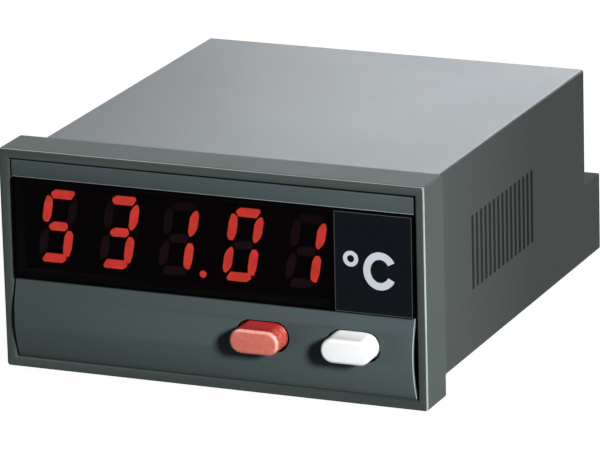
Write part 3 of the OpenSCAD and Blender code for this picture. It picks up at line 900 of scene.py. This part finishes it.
class METER_OT_buttons(Operator):
    """Red and white push-buttons with softly rounded chamfers"""
    bl_idname = "meter.buttons"
    bl_label = "Push-buttons"

    CHAMFER = 0.6 * MM  # the chamfer's edges lie this near the button's face

    def execute(self, context):
        for shade in ("red", "white"):
            node = shade + "_button"
            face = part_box(node)[0].y
            piece = copy_of(node, shade + "_push_button")

            def chamfer(edge):
                return all(v.co.y < face + self.CHAMFER for v in edge.verts) and one_depth(edge)

            round_edges(piece, context.scene.meter_sizes.button_edge, 3, chamfer, degrees=20)
            smooth(piece, 40)
            finish_piece(piece, shade + "_key", shade + "_plastic",
                         material(shade + "_plastic"), node)
            finish_node(shade + "_plunger", material("black_plastic"))
        return {"FINISHED"}


class METER_OT_digits(Operator):
    """Strokes of the five digits with rounded corners, and their dark housings"""
    bl_idname = "meter.digits"
    bl_label = "Digits"

    POINT = (1.7 * MM, 3 * MM)  # a decimal point's corner of its housing: across and up

    def execute(self, context):
        housings = [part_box(digit) for digit in DIGITS]
        across, up = self.POINT

        def is_point(centre, normal):
            """The decimal points that are off are as dark as the housings round them."""
            return any(high.x - across < centre.x < high.x and centre.z < low.z + up
                       for low, high in housings)

        for kind in ("lit", "unlit"):
            node = kind + "_strokes"
            piece = copy_of(node, kind + "_digit_strokes")
            round_edges(piece, context.scene.meter_sizes.stroke_corner, 3,
                        lambda edge: not one_depth(edge, 0.1 * MM), degrees=20)
            smooth(piece)
            finish_piece(piece, "meter", kind + "_red", material(kind + "_red"), node)
            if kind == "unlit":
                second_finish(piece, material("digit_body"), is_point)
        for digit in DIGITS:
            finish_node(digit, material("digit_body"))
        return {"FINISHED"}


class METER_OT_boards(Operator):
    """Finishes of the two boards, the switches and all that stands on the boards"""
    bl_idname = "meter.boards"
    bl_label = "Boards and components"

    def execute(self, context):
        for node, finish in {
            "display_board": "circuit_board", "main_board": "circuit_board",
            "red_switch": "black_plastic", "white_switch": "black_plastic",
            "board_screws": "plated_steel", "board_connector": "black_plastic",
            "microcontroller": "black_plastic", "converter_chip": "black_plastic",
            "crystal": "plated_steel", "transformer_core": "core_steel",
            "transformer_coil": "coil_tape", "capacitors": "capacitor_sleeve",
            "regulator": "heat_sink",
        }.items():
            finish_node(node, material(finish))
        return {"FINISHED"}


class METER_OT_terminals(Operator):
    """Plug-in terminal blocks at the rear with their pins and screws"""
    bl_idname = "meter.terminals"
    bl_label = "Terminal blocks"

    def execute(self, context):
        for side in ("left", "right"):
            finish_node("terminal_header_" + side, material("terminal_plastic"))
            node = "terminal_plug_" + side
            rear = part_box(node)[1].y
            piece = copy_of(node, "terminal_plug_body_" + side)

            def behind(edge):
                return all(v.co.y > rear - NEAR for v in edge.verts)

            round_edges(piece, context.scene.meter_sizes.plug_edge, 1, behind, degrees=50)
            smooth(piece)
            finish_piece(piece, "meter", "terminal_plastic", material("terminal_plastic"), node)
        finish_node("terminal_pins", material("plated_steel"))
        finish_node("terminal_screws", material("plated_brass"))
        return {"FINISHED"}


class METER_OT_stage(Operator):
    """Pale floor, soft lights and the camera"""
    bl_idname = "meter.stage"
    bl_label = "Stage"

    FLOOR_GAP = 0.05 * MM  # the floor lies this far under the meter
    CAMERA_PLACE = (0.4332, -0.9607, 0.3277)
    CAMERA_TURN = (73.129, 1.482, 23.019)
    LENS = 317.0

    def execute(self, context):
        scene = context.scene
        settings = scene.meter_stage
        deselect()
        bpy.ops.mesh.primitive_plane_add(size=settings.floor_size,
                                         location=(0, 0, CAD_BOX[0][2] - self.FLOOR_GAP))
        floor = settle(context.object)
        floor.name = "pale_floor"
        floor.data.materials.append(self.floor_material())
        self.softbox("key_softbox", place=(1.73, -1.44, 0.88), aim=(0, 0, 0), size=(0.36, 0.36),
                     energy=settings.key_power, mirrored=False)
        self.softbox("rear_softbox", place=(-0.14, 1.40, 0.50), aim=(0.02, 0.05, 0),
                     size=(1.0, 0.8), energy=settings.rear_power, tint=(0.90, 0.945, 1.0))
        self.softbox("left_softbox", place=(-1.2, 0.5, 0.5), aim=(0, 0.04, 0), size=(0.7, 0.7),
                     energy=settings.left_power)
        self.softbox("side_softbox", place=(0.20, 0, 0), aim=(0, 0, 0), size=(0.06, 0.06),
                     energy=settings.side_power)
        bpy.ops.object.camera_add(location=self.CAMERA_PLACE,
                                  rotation=[math.radians(angle) for angle in self.CAMERA_TURN])
        camera = context.object
        camera.name = "front_camera"
        camera.data.sensor_width = 36.0
        camera.data.lens = self.LENS
        camera.data.clip_start = 0.01
        scene.camera = camera
        scene.view_settings.view_transform = "Standard"
        self.light_world(scene)
        return {"FINISHED"}

    def softbox(self, name, place, aim, size, energy, tint=(1.0, 1.0, 1.0), mirrored=True):
        """A rectangular lamp; one that isn't mirrored leaves no glare on what it lights."""
        bpy.ops.object.light_add(type="AREA", location=place)
        lamp = bpy.context.object
        lamp.name = name
        lamp.rotation_euler = (Vector(aim) - Vector(place)).to_track_quat("-Z", "Y").to_euler()
        lamp.data.shape = "RECTANGLE"
        lamp.data.size, lamp.data.size_y = size
        lamp.data.energy = energy
        lamp.data.color = tint
        lamp.visible_glossy = mirrored

    def floor_material(self):
        """A mid grey floor for the light, which looks white to the camera and in mirrors."""
        made = bpy.data.materials.new("pale_floor")
        board = NodeBoard(made)
        shader = board.add("ShaderNodeBsdfPrincipled")
        mottle = board.span(board.noise(board.place(), scale=9.0, detail=3.0), 0.3, 0.7)
        board.join(board.blend(mottle, (0.14, 0.14, 0.14), (0.13, 0.13, 0.13)),
                   shader.inputs["Base Color"])
        shader.inputs["Roughness"].default_value = 0.9
        shader.inputs["Specular IOR Level"].default_value = 0.0
        glow = board.add("ShaderNodeEmission")
        board.join(board.maths("MULTIPLY", board.seen(), 0.9), glow.inputs["Strength"])
        both = board.add("ShaderNodeAddShader")
        board.join(shader.outputs[0], both.inputs[0])
        board.join(glow.outputs[0], both.inputs[1])
        board.join(both.outputs[0], board.add("ShaderNodeOutputMaterial").inputs["Surface"])
        return made

    def light_world(self, scene):
        """A weak even light all round, behind which the backdrop is white."""
        scene.world = bpy.data.worlds.new("studio")
        board = NodeBoard(scene.world)
        sky = board.add("ShaderNodeBackground")
        board.join(board.span(board.seen(), 0.0, 1.0, 0.03, 1.0), sky.inputs["Strength"])
        sky.inputs["Color"].default_value = (1, 1, 1, 1)
        board.join(sky.outputs[0], board.add("ShaderNodeOutputWorld").inputs["Surface"])


STEPS = (
    METER_OT_bezel, METER_OT_case, METER_OT_insert, METER_OT_window, METER_OT_label,
    METER_OT_buttons, METER_OT_digits, METER_OT_boards, METER_OT_terminals, METER_OT_stage,
)


class METER_PT_panel(Panel):
    bl_idname = "METER_PT_panel"
    bl_label = "Panel Meter"
    bl_space_type = "VIEW_3D"
    bl_region_type = "UI"
    bl_category = "Panel Meter"

    def draw(self, context):
        scene = context.scene
        column = self.layout.column(align=True)
        for step in STEPS:
            column.operator(step.bl_idname)
        for title, settings in (("Sizes", scene.meter_sizes), ("Colours", scene.meter_colours),
                                ("Stage", scene.meter_stage)):
            part = self.layout.box()
            part.label(text=title)
            for key in settings.__annotations__:
                part.prop(settings, key)


CLASSES = (MeterSizes, MeterColours, StageSettings, *STEPS, METER_PT_panel)


def register():
    for item in CLASSES:
        bpy.utils.register_class(item)
    bpy.types.Scene.meter_sizes = PointerProperty(type=MeterSizes)
    bpy.types.Scene.meter_colours = PointerProperty(type=MeterColours)
    bpy.types.Scene.meter_stage = PointerProperty(type=StageSettings)


def unregister():
    del bpy.types.Scene.meter_stage
    del bpy.types.Scene.meter_colours
    del bpy.types.Scene.meter_sizes
    for item in reversed(CLASSES):
        bpy.utils.unregister_class(item)


def main():
    register()
    for step in STEPS:
        area, name = step.bl_idname.split(".")
        getattr(getattr(bpy.ops, area), name)()


if __name__ == "__main__":
    main()
